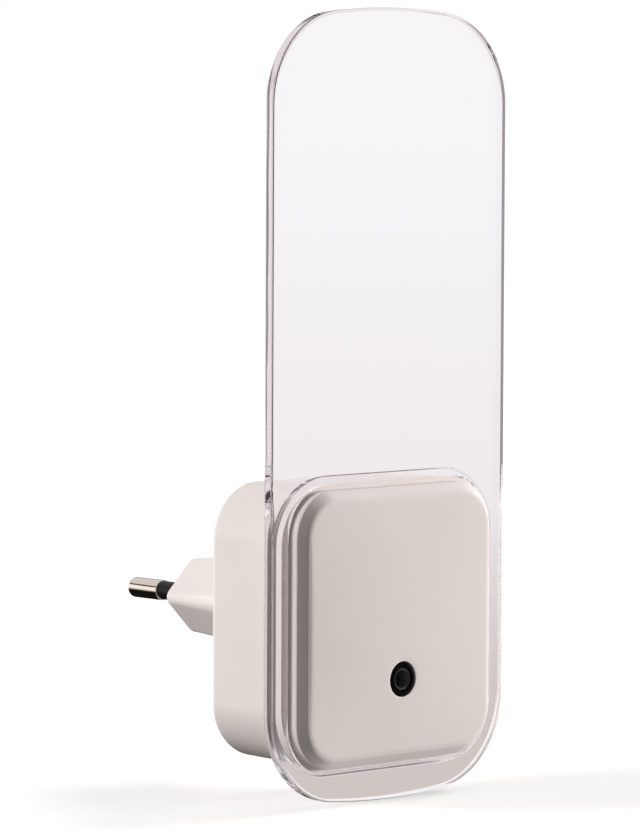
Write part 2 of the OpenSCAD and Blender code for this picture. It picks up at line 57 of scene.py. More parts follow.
# %% [markdown]
# ## Measurements
#
# The model is built as a stack that starts at the face of the plug. Here a depth is
# counted from that face towards the room, so a depth of 43.3 mm is the front of the clear
# panel. Blender's Y axis points into the wall, which makes the depth its negative. Sizes
# that the model's boxes can tell are read from them, and the rest are named below.

# %% Sizes of the stack, in millimetres
panel_low, panel_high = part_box("light_panel")
cover_low, cover_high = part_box("front_cover")
case_low, case_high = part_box("rear_housing")

panel_front = -panel_low.y / MM
panel_width = (panel_high.x - panel_low.x) / MM
panel_height = (panel_high.z - panel_low.z) / MM
panel_middle = (panel_high.z + panel_low.z) / 2 / MM
case_rim = -case_low.y / MM
case_width = (case_high.x - case_low.x) / MM
case_height = (case_high.z - case_low.z) / MM
case_middle = (case_high.z + case_low.z) / 2 / MM
cover_face = -cover_low.y / MM
cover_middle = (cover_high.z + cover_low.z) / 2 / MM

plate_thickness = 2.5
plate_back = panel_front - plate_thickness
plate_corner = 17.5
plate_bow = 150.0
plate_rounding = 0.6
recess_depth = 2.0
recess_floor = panel_front - recess_depth
gap_round_cover = 1.0
ledge_width = 3.6
cover_width = case_width - 1.4
cover_height = case_height - 1.0
cover_corner = 8.8
sensor_x, sensor_z = 0.0, -13.0
board_front = case_rim - 2.2
board_back = board_front - 1.6
print(f"panel {panel_width:.1f} x {panel_height:.1f} mm")
print(f"case {case_width:.1f} x {case_height:.1f} mm")

# %% [markdown]
# ## Outlines made of arcs
#
# Nearly every part here has an outline of straight sides and round corners. Such an
# outline is fully told by its corner arcs: a centre, a radius, and the angles where the arc
# starts and ends. The straight sides appear by themselves when the arcs' ends are joined.
# Moving inwards by some distance only shrinks the radii, so one list of arcs gives every
# ring of a rounded edge, and the rounding is a true quarter circle all the way round.

# %% Arcs and rings
CORNER_STEPS = 28


def box_arcs(width, height, radius, middle):
    """Corner arcs of a rounded rectangle, anticlockwise, as (x, z, radius, from, to)."""
    x, z = width / 2 - radius, height / 2 - radius
    corners = [(x, z, 0), (-x, z, 90), (-x, -z, 180), (x, -z, 270)]
    return [(cx, middle + cz, radius, a, a + 90) for cx, cz, a in corners]


def bowed_arcs(width, height, radius, bow, middle):
    """The same with a top and a bottom that bulge gently as arcs of radius bow."""
    x = width / 2 - radius
    drop = math.sqrt((bow - radius) ** 2 - x ** 2)
    z = height / 2 - bow + drop
    half = math.degrees(math.asin(x / (bow - radius)))
    far = z - drop
    return [
        (x, middle + z, radius, 0, 90 - half),
        (0, middle + far, bow, 90 - half, 90 + half),
        (-x, middle + z, radius, 90 + half, 180),
        (-x, middle - z, radius, 180, 270 - half),
        (0, middle - far, bow, 270 - half, 270 + half),
        (x, middle - z, radius, 270 + half, 360),
    ]


def spot(x, depth, z):
    """A place counted in mm from the plug's face, in metres in the model's frame."""
    return Vector((x, -depth, z)) * MM


def ring(mesh, arcs, inset, depth):
    """A closed loop of vertices at that inset and depth, in metres in the model's frame."""
    points = []
    for cx, cz, radius, start, end in arcs:
        for i in range(CORNER_STEPS + 1):
            a = math.radians(start + (end - start) * i / CORNER_STEPS)
            x = cx + (radius - inset) * math.cos(a)
            z = cz + (radius - inset) * math.sin(a)
            points.append(spot(x, depth, z))
    pairs = zip(points, [points[-1]] + points)
    return [mesh.verts.new(p) for p, before in pairs if (p - before).length > 1e-8]


def arc(inset, depth, radius, start, end, steps=3):
    """Points (inset, depth) of a profile on an arc about a centre, from turn to turn."""
    turns = [math.radians(start + (end - start) * i / steps) for i in range(steps + 1)]
    return [(inset + radius * math.cos(a), depth + radius * math.sin(a)) for a in turns]


print("one ring of the panel has", 6 * (CORNER_STEPS + 1), "points")

# %% [markdown]
# ## From rings to closed skins
#
# A stack of rings becomes a wall by joining each ring to the next with four-sided faces.
# Flat regions between two different outlines, such as the panel's front between its rim and
# its window, are filled with triangles, which is harmless because they lie in one plane.
# Weighted normals then let each large flat face set the shading at its border, so that the
# flat stays flat and all of the turning happens inside the rounded edge.

# %% Walls, flats and finished meshes


def wall(mesh, rings):
    """Joins each ring to the next one."""
    for a, b in zip(rings, rings[1:]):
        for i in range(len(a)):
            j = (i + 1) % len(a)
            mesh.faces.new((a[i], a[j], b[j], b[i]))


def flat(mesh, outer, inner):
    """Fills the flat region between two rings of one depth."""
    edges = []
    for loop in (outer, inner):
        for i in range(len(loop)):
            pair = (loop[i], loop[(i + 1) % len(loop)])
            edges.append(mesh.edges.get(pair) or mesh.edges.new(pair))
    bmesh.ops.triangle_fill(mesh, edges=edges, use_beauty=True, normal=(0, 1, 0))


def linked(name, data):
    """A new object of this data in the scene."""
    obj = bpy.data.objects.new(name, data)
    bpy.context.scene.collection.objects.link(obj)
    return obj


def applied(obj):
    """The mesh that an object's modifiers make, with the modifiers then dropped."""
    bpy.context.view_layer.update()
    shown = obj.evaluated_get(bpy.context.evaluated_depsgraph_get())
    mesh = bpy.data.meshes.new_from_object(shown)
    obj.modifiers.clear()
    return mesh


def as_object(work, name):
    """Turns edit-mesh data into an object with outward faces."""
    bmesh.ops.recalc_face_normals(work, faces=work.faces)
    mesh = bpy.data.meshes.new(name)
    work.to_mesh(mesh)
    work.free()
    return linked(name, mesh)


def weighted(obj, sharp_angle=40):
    """Applies weighted normals, with edges above the angle kept crisp."""
    mesh = obj.data
    mesh.shade_smooth()
    mesh.set_sharp_from_angle(angle=math.radians(sharp_angle))
    modifier = obj.modifiers.new("weighted normals", "WEIGHTED_NORMAL")
    modifier.keep_sharp = True
    modifier.weight = 90
    obj.data = applied(obj)
    bpy.data.meshes.remove(mesh)


def mark_rims(obj):
    """Stores where the surface turns as the attribute rim: 0 on flats, towards 1 on edges."""
    work = bmesh.new()
    work.from_mesh(obj.data)
    turns, gain = [], 12
    for vert in work.verts:
        total = sum((face.normal for face in vert.link_faces), Vector((0, 0, 0)))
        count = max(1, len(vert.link_faces))
        turns.append(min(1.0, (1 - total.length / count) * gain))
    work.free()
    rim = obj.data.attributes.new("rim", "FLOAT", "POINT")
    rim.data.foreach_set("value", turns)


def finished(work, name):
    """Merges the seams of edit-mesh data and makes it a smooth-shaded object."""
    bmesh.ops.remove_doubles(work, verts=work.verts, dist=1e-7)
    open_edges = sum(1 for edge in work.edges if not edge.is_manifold)
    obj = as_object(work, name)
    weighted(obj)
    mark_rims(obj)
    print(f"{name}: {len(obj.data.polygons)} faces, {open_edges} open edges")
    return obj


# %% [markdown]
# ### Turned parts
#
# The sensor, its shade and the screws are round about one axis. Their half section is a
# list of radii and depths, and turning it about the axis gives a ring of vertices for each
# point. A point of radius nought becomes a single vertex, so a dome closes in a clean pole.

# %% The lathe


def turned(name, profile, x=0.0, z=0.0, steps=72, closed=False):
    """A round part on an axis along the stack, from points (radius, depth) in mm."""
    work = bmesh.new()
    rings = []
    for radius, depth in profile:
        count = steps if radius > 1e-6 else 1
        angles = [2 * math.pi * i / steps for i in range(count)]
        rings.append([work.verts.new(spot(
            x + radius * math.cos(a), depth, z + radius * math.sin(a))) for a in angles])
    pairs = list(zip(rings, rings[1:]))
    if closed:
        pairs.append((rings[-1], rings[0]))
    for a, b in pairs:
        for i in range(steps):
            j = (i + 1) % steps
            corners = [a[i % len(a)], a[j % len(a)], b[j % len(b)], b[i % len(b)]]
            work.faces.new(list(dict.fromkeys(corners)))
    return finished(work, name)


# %% [markdown]
# ## Geometry Nodes for what repeats and what follows a rule
#
# Two node trees are built here and used further down. The first puts a copy of a small
# piece on each point of a mesh, with a little seeded variation in turn and size: that is how
# screws, hooks and solder joints come about. The second swells a flat face into a cushion
# by a rule, so that its crown is one number. Both take their sizes as named inputs.

# %% Helpers for node trees and their modifiers


def give(tree, socket, value):
    """Sets an input to a plain value, or links another node's output to it."""
    if isinstance(value, bpy.types.NodeSocket):
        tree.links.new(value, socket)
    else:
        socket.default_value = value


def feed(tree, node, **inputs):
    """Gives a node's inputs by their names, with _ for a space."""
    for label, value in inputs.items():
        give(tree, node.inputs[label.replace("_", " ")], value)
    return node


def add(tree, kind, **inputs):
    """A new node with these inputs."""
    return feed(tree, tree.nodes.new(kind), **inputs)


def maths(tree, kind, a, b=0.0):
    """One arithmetic node of two values or sockets."""
    node = tree.nodes.new("ShaderNodeMath")
    node.operation = kind
    give(tree, node.inputs[0], a)
    give(tree, node.inputs[1], b)
    return node.outputs["Value"]


def vector_maths(tree, kind, a, b=(0.0, 0.0, 0.0)):
    """The same for vectors, whose dot product or length is a value."""
    node = tree.nodes.new("ShaderNodeVectorMath")
    node.operation = kind
    give(tree, node.inputs[0], a)
    give(tree, node.inputs[1], b)
    return node.outputs["Value" if kind in ("DOT_PRODUCT", "LENGTH") else "Vector"]


def new_tree(name, inputs):
    """A geometry node tree with inputs {name: (type, default)}, its given sockets and end."""
    tree = bpy.data.node_groups.new(name, "GeometryNodeTree")
    tree.is_modifier = True
    tree.interface.new_socket("Geometry", in_out="INPUT", socket_type="NodeSocketGeometry")
    tree.interface.new_socket("Geometry", in_out="OUTPUT", socket_type="NodeSocketGeometry")
    for label, (kind, default) in inputs.items():
        socket = tree.interface.new_socket(label, in_out="INPUT", socket_type=kind)
        if default is not None:
            socket.default_value = default
    return tree, tree.nodes.new("NodeGroupInput").outputs, tree.nodes.new("NodeGroupOutput")


def read_attribute(tree, name, kind):
    """A named attribute of the points, as a socket."""
    node = add(tree, "GeometryNodeInputNamedAttribute", Name=name)
    node.data_type = kind
    return node.outputs["Attribute"]


def random_between(tree, low, high, seed):
    """A random number for each point, between two sockets or values."""
    node = tree.nodes.new("FunctionNodeRandomValue")
    node.data_type = "FLOAT"
    for label, value in (("Min", low), ("Max", high), ("Seed", seed)):
        give(tree, next(s for s in node.inputs if s.enabled and s.name == label), value)
    return next(s for s in node.outputs if s.enabled)


def close_tree(tree, geometry, given, end):
    """Gives the geometry the tree's finish and hands it out."""
    painted = add(tree, "GeometryNodeSetMaterial", Geometry=geometry)
    feed(tree, painted, Material=given["Finish"])
    feed(tree, end, Geometry=painted.outputs["Geometry"])


def grown(obj, tree, name, **values):
    """A new plain mesh object: obj as the tree makes it with these inputs."""
    modifier = obj.modifiers.new(tree.name, "NODES")
    modifier.node_group = tree
    for item in tree.interface.items_tree:
        label = item.name.replace(" ", "_")
        if item.in_out == "INPUT" and label in values:
            modifier[item.identifier] = values[label]
    result = linked(name, applied(obj))
    bpy.data.objects.remove(obj)
    print(f"{name}: {len(result.data.polygons)} faces from the tree '{tree.name}'")
    return result


# %% Copies of a piece on points
copies_tree, given, end = new_tree("copies on points", {
    "Piece": ("NodeSocketObject", None),
    "Finish": ("NodeSocketMaterial", None),
    "Turn jitter": ("NodeSocketFloat", 0.0),
    "Size jitter": ("NodeSocketFloat", 0.0),
    "Seed": ("NodeSocketInt", 1),
})
tree, seed, jitter = copies_tree, given["Seed"], given["Turn jitter"]
spin = random_between(tree, maths(tree, "MULTIPLY", jitter, -1.0), jitter, seed)
about_axis = add(tree, "ShaderNodeCombineXYZ", Y=spin).outputs["Vector"]
turn = vector_maths(tree, "ADD", about_axis, read_attribute(tree, "turn", "FLOAT_VECTOR"))
smallest = maths(tree, "SUBTRACT", 1.0, given["Size jitter"])
piece = add(tree, "GeometryNodeObjectInfo", Object=given["Piece"])
copies = add(
    tree, "GeometryNodeInstanceOnPoints",
    Points=given["Geometry"], Instance=piece.outputs["Geometry"],
    Rotation=turn, Scale=random_between(tree, smallest, 1.0, seed),
)
realised = add(tree, "GeometryNodeRealizeInstances", Geometry=copies.outputs["Instances"])
close_tree(tree, realised.outputs["Geometry"], given, end)


def points_object(name, places):
    """A mesh of loose points from [(x, depth, z, turn as three angles)] in mm."""
    mesh = bpy.data.meshes.new(name)
    mesh.from_pydata([(x * MM, -depth * MM, z * MM) for x, depth, z, _ in places], [], [])
    turns = mesh.attributes.new("turn", "FLOAT_VECTOR", "POINT")
    turns.data.foreach_set("vector", [angle for *_, turn in places for angle in turn])
    return linked(name, mesh)


# %% A face that swells into a cushion
crown_tree, given, end = new_tree("crowned face", {
    "Finish": ("NodeSocketMaterial", None),
    "Crown": ("NodeSocketFloat", 0.001),
    "Half width": ("NodeSocketFloat", 0.025),
    "Half height": ("NodeSocketFloat", 0.025),
    "Middle height": ("NodeSocketFloat", 0.0),
})
tree = crown_tree
position = tree.nodes.new("GeometryNodeInputPosition").outputs["Position"]
where = add(tree, "ShaderNodeSeparateXYZ", Vector=position).outputs
raised = maths(tree, "SUBTRACT", where["Z"], given["Middle height"])
swell = given["Crown"]
for offset, half in ((where["X"], "Half width"), (raised, "Half height")):
    share = maths(tree, "DIVIDE", offset, given[half])
    fall = maths(tree, "SUBTRACT", 1.0, maths(tree, "MULTIPLY", share, share))
    swell = maths(tree, "MULTIPLY", swell, maths(tree, "MAXIMUM", fall, 0.0))
swell = maths(tree, "MULTIPLY", swell, read_attribute(tree, "skin", "FLOAT"))
forward = add(tree, "ShaderNodeCombineXYZ", Y=maths(tree, "MULTIPLY", swell, -1.0))
moved = add(
    tree, "GeometryNodeSetPosition",
    Geometry=given["Geometry"], Offset=forward.outputs["Vector"],
)
close_tree(tree, moved.outputs["Geometry"], given, end)
print("node trees:", copies_tree.name, "and", crown_tree.name)

# %% [markdown]
# ## Shared shading effects
#
# Moulded plastic is never perfectly even. Three small effects do most of the work, and each is a
# node group with named inputs, so that every material can place it with its own values: *grain*
# is the fine texture left by the mould, *wear* lightens and polishes the edges that hands and
# packing touch, and *streaks* are the fine lines that drawing or turning leaves on metal. Turned
# up on the sensor's lens, the wear mask paints a highlight ring instead of wear.

# %% Node group helpers


def new_group(name, inputs, outputs):
    """A shader group with float inputs {name: default} and outputs, returned the same way."""
    group = bpy.data.node_groups.new(name, "ShaderNodeTree")
    for label, default in inputs.items():
        socket = group.interface.new_socket(label, in_out="INPUT", socket_type="NodeSocketFloat")
        socket.default_value = default
    for label in outputs:
        group.interface.new_socket(label, in_out="OUTPUT", socket_type="NodeSocketFloat")
    return group, group.nodes.new("NodeGroupInput").outputs, group.nodes.new("NodeGroupOutput")


def noise(tree, vector, scale, detail, roughness=0.5):
    """The value of a noise texture fed by a vector."""
    node = add(tree, "ShaderNodeTexNoise", Vector=vector, Scale=scale)
    return feed(tree, node, Detail=detail, Roughness=roughness).outputs["Fac"]


def spread(tree, value, low, high, to_low=0.0, to_high=1.0):
    """Maps a value from one range to another, clamped."""
    node = add(tree, "ShaderNodeMapRange", Value=value, From_Min=low, From_Max=high)
    return feed(tree, node, To_Min=to_low, To_Max=to_high).outputs["Result"]


def object_position(tree):
    """The position on the object, in metres in the model's frame."""
    return tree.nodes.new("ShaderNodeTexCoord").outputs["Object"]


# %% The mould's grain
grain_group, given, end = new_group(
    "mould grain", {"Fineness": 2200.0, "Cloud size": 60.0}, ("Height", "Cloud")
)
place = object_position(grain_group)
fine = noise(grain_group, place, given["Fineness"], 3.0, 0.6)
cloud = noise(grain_group, place, given["Cloud size"], 2.0)
feed(grain_group, end, Height=fine, Cloud=spread(grain_group, cloud, 0.3, 0.7))

# %% Wear on edges, broken up by noise so that no rim is evenly worn; on the lens the same mask paints a highlight
wear_group, given, end = new_group(
    "edge wear", {"Amount": 0.5, "Patch size": 300.0}, ("Mask",)
)
rim = wear_group.nodes.new("ShaderNodeAttribute")
rim.attribute_name = "rim"
patches = noise(wear_group, object_position(wear_group), given["Patch size"], 4.0, 0.7)
broken = maths(wear_group, "MULTIPLY", rim.outputs["Fac"], patches)
feed(wear_group, end, Mask=maths(wear_group, "MULTIPLY", broken, given["Amount"]))

# %% Streaks, drawn out along the stack's axis
streak_group, given, end = new_group(
    "metal streaks", {"Scale": 900.0, "Stretch": 0.05}, ("Streak",)
)
squeeze = add(streak_group, "ShaderNodeCombineXYZ", X=1.0, Y=given["Stretch"], Z=1.0)
place = object_position(streak_group)
pulled = vector_maths(streak_group, "MULTIPLY", place, squeeze.outputs["Vector"])
feed(streak_group, end, Streak=noise(streak_group, pulled, given["Scale"], 4.0, 0.6))
print("shared effects:", [g.name for g in bpy.data.node_groups])

# %% [markdown]
# ## Materials
#
# One function makes the moulded plastics, because they differ only in colour, gloss and
# grain. The cloud darkens the colour by a few hundredths, the wear mask lightens and
# polishes the rims, and the fine grain feeds a bump. Colours are written in linear values.

# %% A function for moulded plastics


def place_group(tree, group, **values):
    """Puts a shared effect in a material and sets its inputs."""
    node = tree.nodes.new("ShaderNodeGroup")
    node.node_tree = group
    return feed(tree, node, **values)


def tint(tree, factor, colour_a, colour_b):
    """Mixes two colours by a factor."""
    node = tree.nodes.new("ShaderNodeMix")
    node.data_type = "RGBA"
    tree.links.new(factor, node.inputs["Factor"])
    for socket, colour in ((node.inputs[6], colour_a), (node.inputs[7], colour_b)):
        give(tree, socket, (*colour, 1.0) if isinstance(colour, tuple) else colour)
    return node.outputs[2]


def bump(tree, shader, height, distance):
    """Lets a height, over a distance in metres, turn the shader's normal."""
    node = add(tree, "ShaderNodeBump", Strength=1.0, Distance=distance, Height=height)
    feed(tree, shader, Normal=node.outputs["Normal"])


def blank_material(name):
    """A material with its Principled shader, as (material, tree, shader)."""
    material = bpy.data.materials.new(name)
    material.use_nodes = True
    return material, material.node_tree, material.node_tree.nodes["Principled BSDF"]


def moulded(name, colour, roughness, shade=0.94, depth=4e-6, wear=0.3, frost_and_glint=0.01, **sockets):
    """Moulded plastic: a colour with faint clouds, rims worn lighter, and a fine grain. A large
    rim lift paints a highlight onto the rims.
    """
    material, tree, shader = blank_material(name)
    grain = place_group(tree, grain_group).outputs
    rim_wear_and_glint = place_group(tree, wear_group, Amount=wear).outputs["Mask"]
    darker = tuple(c * shade for c in colour)
    lighter = tuple(min(1.0, c * 1.06 + frost_and_glint) for c in colour)
    clouded = tint(tree, grain["Cloud"], colour, darker)
    painted = tint(tree, rim_wear_and_glint, clouded, lighter)
    gloss = spread(tree, grain["Cloud"], 0.0, 1.0, roughness * 0.93, roughness * 1.07)
    polish = maths(tree, "MULTIPLY", rim_wear_and_glint, -0.12 * roughness)
    feed(tree, shader, Base_Color=painted, Roughness=maths(tree, "ADD", gloss, polish), **sockets)
    bump(tree, shader, grain["Height"], depth)
    return material


# %% The plastics of the outside
white_shell = moulded("white satin shell", (0.80, 0.735, 0.712), 0.36, shade=0.975, IOR=1.5)
black_sleeve = moulded(
    "black pin sleeve", (0.006, 0.005, 0.005), 0.42, shade=0.7, Specular_IOR_Level=0.2,
)
black_shade = moulded(
    "black sensor shade", (0.002, 0.002, 0.002), 0.3,
    shade=0.8, wear=0.05, depth=2e-6, Specular_IOR_Level=0.03,
)
print("plastics of the outside:", white_shell.name, black_sleeve.name, black_shade.name)

# %% [markdown]
# ### Clear acrylic
#
# A true transmission shader bends what is behind the panel and mirrors the room at its
# edges, which a see-through alpha can't do. Light that only passes on its way to the floor
# takes a shortcut: for shadow rays the shader is swapped for a nearly clear transparent one,
# because a path tracer would otherwise draw a black shadow under clear plastic. A very
# shallow, wide bump stands for the slow waves that moulding leaves in a large flat.

# %% The clear panel's material
clear_acrylic, tree, shader = blank_material("clear acrylic")
feed(tree, shader, Base_Color=(0.985, 0.98, 0.99, 1.0), Roughness=0.0)
feed(tree, shader, IOR=1.49, Transmission_Weight=1.0)
bump(tree, shader, noise(tree, object_position(tree), 70.0, 1.0), 6e-6)
for_shadow = add(tree, "ShaderNodeBsdfTransparent", Color=(0.93, 0.93, 0.94, 1.0))
paths = tree.nodes.new("ShaderNodeLightPath").outputs
swap = add(tree, "ShaderNodeMixShader", Fac=paths["Is Shadow Ray"])
give(tree, swap.inputs[1], shader.outputs["BSDF"])
give(tree, swap.inputs[2], for_shadow.outputs["BSDF"])
tinge = add(tree, "ShaderNodeVolumeAbsorption", Color=(0.80, 0.66, 0.72, 1.0), Density=8.0)
surface, volume = swap.outputs["Shader"], tinge.outputs["Volume"]
feed(tree, tree.nodes["Material Output"], Surface=surface, Volume=volume)

# %% [markdown]
# ### Metals
#
# The pin tips are nickel-plated brass, the screws are zinc-plated steel and the contact
# strips are bare brass. With the solder they are one recipe in four colours: a metallic
# shader whose roughness follows the streaks, so highlights break up along the work.

# %% A function for metals


def metal(name, colour, roughness, scale=900.0, stretch=0.05):
    """Metal with fine streaks in its gloss and its colour."""
    material, tree, shader = blank_material(name)
    line = place_group(tree, streak_group, Scale=scale, Stretch=stretch).outputs["Streak"]
    streaked = tint(tree, line, tuple(c * 0.86 for c in colour), colour)
    gloss = spread(tree, line, 0.3, 0.7, roughness * 0.7, roughness * 1.4)
    feed(tree, shader, Base_Color=streaked, Roughness=gloss, Metallic=1.0)
    bump(tree, shader, line, 2e-6)
    return material


nickel = metal("nickel plate", (0.72, 0.68, 0.62), 0.11)
zinc = metal("zinc plated steel", (0.58, 0.59, 0.61), 0.32, scale=1500.0, stretch=1.0)
brass = metal("contact brass", (0.72, 0.51, 0.22), 0.28, stretch=0.2)
solder_tin = metal("solder", (0.66, 0.66, 0.67), 0.22, scale=2200.0, stretch=1.0)
print("metals:", nickel.name, zinc.name, brass.name, solder_tin.name)

# %% [markdown]
# ### Parts of the circuit
#
# These sit out of sight, yet a model that can be opened should hold up when it is. Each has
# the finish of the real component: a glass-fibre weave in the laminate, colour bands on the
# resistors and a pale stripe on the electrolytic capacitor that marks its negative side.

# %% Materials of the electronics
off_white = moulded("off-white nylon", (0.66, 0.66, 0.62), 0.5, shade=0.9)
yellow_film = moulded("yellow film case", (0.69, 0.45, 0.04), 0.4, shade=0.9)
black_epoxy = moulded("black epoxy", (0.014, 0.014, 0.015), 0.55, shade=0.6, depth=1e-5)
# On the lens's bead, the full wear and the large rim lift paint a highlight ring as a lighter
# base colour.
smoky_epoxy = moulded(
    "smoky sensor epoxy", (0.002, 0.002, 0.002), 0.12,
    shade=0.8, wear=1.0, frost_and_glint=0.25, depth=0.0, Specular_IOR_Level=0.05,
)
led_epoxy, tree, shader = blank_material("milky diode epoxy")
feed(tree, shader, Base_Color=(0.93, 0.92, 0.80, 1.0), Transmission_Weight=0.8, Roughness=0.18)
bump(tree, shader, noise(tree, object_position(tree), 900.0, 2.0), 4e-6)


def stripes(name, ground, bands):
    """Plastic with painted bands: [(from, to, colour)] in metres from left to right."""
    material = moulded(name, ground, 0.35, shade=0.92)
    tree = material.node_tree
    shader = tree.nodes["Principled BSDF"]
    along = add(tree, "ShaderNodeSeparateXYZ", Vector=object_position(tree)).outputs["X"]
    colour = shader.inputs["Base Color"].links[0].from_socket
    for low, high, paint in bands:
        above = maths(tree, "GREATER_THAN", along, low)
        below = maths(tree, "LESS_THAN", along, high)
        colour = tint(tree, maths(tree, "MULTIPLY", above, below), colour, paint)
    feed(tree, shader, Base_Color=colour)
    return material


BROWN, RED, GOLD = (0.10, 0.03, 0.01), (0.45, 0.02, 0.01), (0.60, 0.42, 0.08)
band_width, stripe_width = 0.0006, 0.0011
band_starts = {-0.0026: BROWN, -0.0012: RED, 0.0: BROWN, 0.0018: GOLD}
bands = [(x, x + band_width, paint) for x, paint in band_starts.items()]
green_resistor = stripes("green fuse resistor", (0.10, 0.27, 0.17), bands)
tan_resistor = stripes("tan resistor", (0.60, 0.44, 0.26), bands)
_, can_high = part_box("smoothing_capacitor")
stripe = [(can_high.x - stripe_width, can_high.x, (0.62, 0.64, 0.66))]
capacitor_wrap = stripes("capacitor wrap", (0.020, 0.024, 0.065), stripe)

# %% The laminate with its weave
laminate = moulded("board laminate", (0.52, 0.41, 0.19), 0.45, shade=0.9)
tree = laminate.node_tree
threads = []
for run in ("X", "Z"):
    weave = add(tree, "ShaderNodeTexWave", Scale=300.0, Vector=object_position(tree))
    weave.bands_direction = run
    threads.append(weave.outputs["Fac"])
bump(tree, tree.nodes["Principled BSDF"], maths(tree, "MAXIMUM", *threads), 8e-6)
print("materials made:", len(bpy.data.materials))

# %% [markdown]
# ## The clear panel
#
# The real panel is one moulding: a plate with soft edges, a raised frame on its back that
# locates it on the box, and a stepped window that takes the foot of the cover. Clear
# plastic shows every one of its surfaces at once, so this part is lofted anew from arcs
# with finer roundings than the engineering model needs. The order of the walls goes
# round the section: outer rim, frame, window, and back to the front face.

# %% Outlines of the panel
rim_arcs = bowed_arcs(panel_width, panel_height, plate_corner, plate_bow, panel_middle)
frame_side, frame_end, frame_corner = 2.1, 1.5, 12.8
frame_arcs = box_arcs(
    case_width + 2 * frame_side, case_height + 2 * frame_end, frame_corner, case_middle,
)
recess_arcs = box_arcs(
    cover_width + 2 * gap_round_cover,
    cover_height + 2 * gap_round_cover,
    cover_corner + gap_round_cover,
    cover_middle,
)

# %% Walls of the panel
work = bmesh.new()
r, lip, root, foot, air_film = plate_rounding, 0.12, 0.25, 0.15, 0.02
rim_profile = arc(r, panel_front - r, r, 90, 180, 8)
rim_profile += arc(r, plate_back + r, r, 180, 270, 8)
rim_rings = [ring(work, rim_arcs, i, d) for i, d in rim_profile]
wall(work, rim_rings)

seat, recess_level = case_rim + air_film, recess_floor - air_film
frame_profile = arc(-root, plate_back - root, root, 90, 0, 4)
frame_profile += arc(foot, seat + foot, foot, 180, 270, 4)
frame_rings = [ring(work, frame_arcs, i, d) for i, d in frame_profile]
wall(work, frame_rings)

window_profile = arc(ledge_width - lip, seat + lip, lip, 270, 360)
window_profile += arc(ledge_width - lip, recess_level - lip, lip, 0, 90)
window_profile += arc(lip, recess_level + lip, lip, 270, 180)
window_profile += arc(-lip, panel_front - lip, lip, 0, 90)
window_rings = [ring(work, recess_arcs, i, d) for i, d in window_profile]
wall(work, window_rings)

# %% Flats of the panel
flat(work, rim_rings[0], window_rings[-1])
flat(work, rim_rings[-1], frame_rings[0])
flat(work, frame_rings[-1], window_rings[0])
panel = finished(work, "clear_panel")
panel.data.materials.append(clear_acrylic)
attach(panel, "root")
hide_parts("light_panel")

# %% [markdown]
# ## The front cover
#
# The cover is a cushion: a short upright side, a softened bevel that leans at 45 degrees,
# and a face that crowns gently towards its middle. Behind it hang a foot that lies in the
# panel's recess, a skirt that reaches into the box and four snap hooks. Its section is one
# closed loop of rings. The rings start on the round bore of the light sensor and grow into
# the outline of the cover, so the face has no seam between the hole and its border.

# %% Rings that grow from the sensor's bore to the outline
SIDE_STEPS, TURN_STEPS, FACE_RINGS = 22, 14, 26


def cushion_outline(inset):
    """Evenly walked points of the cover's outline at that inset, as (x, z) in mm."""
    x, z = cover_width / 2 - cover_corner, cover_height / 2 - cover_corner
    radius = cover_corner - inset
    points = []
    corners = [(x, z), (-x, z), (-x, -z), (x, -z)]
    for k, (cx, cz) in enumerate(corners):
        nx, nz = corners[(k + 1) % 4]
        for i in range(TURN_STEPS):
            a = math.radians(90 * (k + i / TURN_STEPS))
            points.append((cx + radius * math.cos(a), cover_middle + cz + radius * math.sin(a)))
        a = math.radians(90 * (k + 1))
        ex, ez = radius * math.cos(a), radius * math.sin(a)
        for i in range(SIDE_STEPS):
            t = i / SIDE_STEPS
            points.append((cx + (nx - cx) * t + ex, cover_middle + cz + (nz - cz) * t + ez))
    return points


border = cushion_outline(0)
first_turn = math.atan2(border[0][1] - sensor_z, border[0][0] - sensor_x)


def bore_outline(radius):
    """The same number of points round the sensor's axis."""
    turns = [first_turn + 2 * math.pi * i / len(border) for i in range(len(border))]
    return [(sensor_x + radius * math.cos(a), sensor_z + radius * math.sin(a)) for a in turns]


def place_ring(work, outline, depth):
    """A loop of vertices from points (x, z) at one depth."""
    return [work.verts.new(spot(x, depth, z)) for x, z in outline]


print("each ring of the cover has", len(border), "points")

# %% Section of the cover
hole_radius, bore_lip, wall_thickness = 3.35, 0.12, 1.6
side_top, crown = panel_front + 0.85, 0.85
face_edge = cover_face - crown
first_bend, last_bend = 0.5, 1.3
lean = math.sqrt(0.5)
bevel_deep = face_edge - side_top
bevel_run = bevel_deep - first_bend * lean - last_bend * (1 - lean)
bevel_wide = first_bend * (1 - lean) + bevel_run + last_bend * lean
foot_top, foot_under = recess_floor + 1.2, recess_floor
foot_reach, skirt_out = 0.85, 2.75
skirt_in, skirt_end = skirt_out + 1.2, case_rim - 1.6
collar_radius = hole_radius + 1.2
inner_face = cover_face - wall_thickness
outside = [(-foot_reach, foot_under), (-foot_reach, foot_top)]
outside += [(0.0, foot_top), (0.0, side_top - 0.7)]
outside += arc(first_bend, side_top, first_bend, 180, 135, 5)
outside += arc(bevel_wide, face_edge - last_bend, last_bend, 135, 90, 5)
print(f"bevel {bevel_wide:.2f} mm wide and {bevel_deep:.2f} mm deep")
inside = [(wall_thickness, inner_face), (wall_thickness, foot_top), (skirt_in, foot_top)]
inside += [(skirt_in, skirt_end), (skirt_out, skirt_end), (skirt_out, foot_under)]

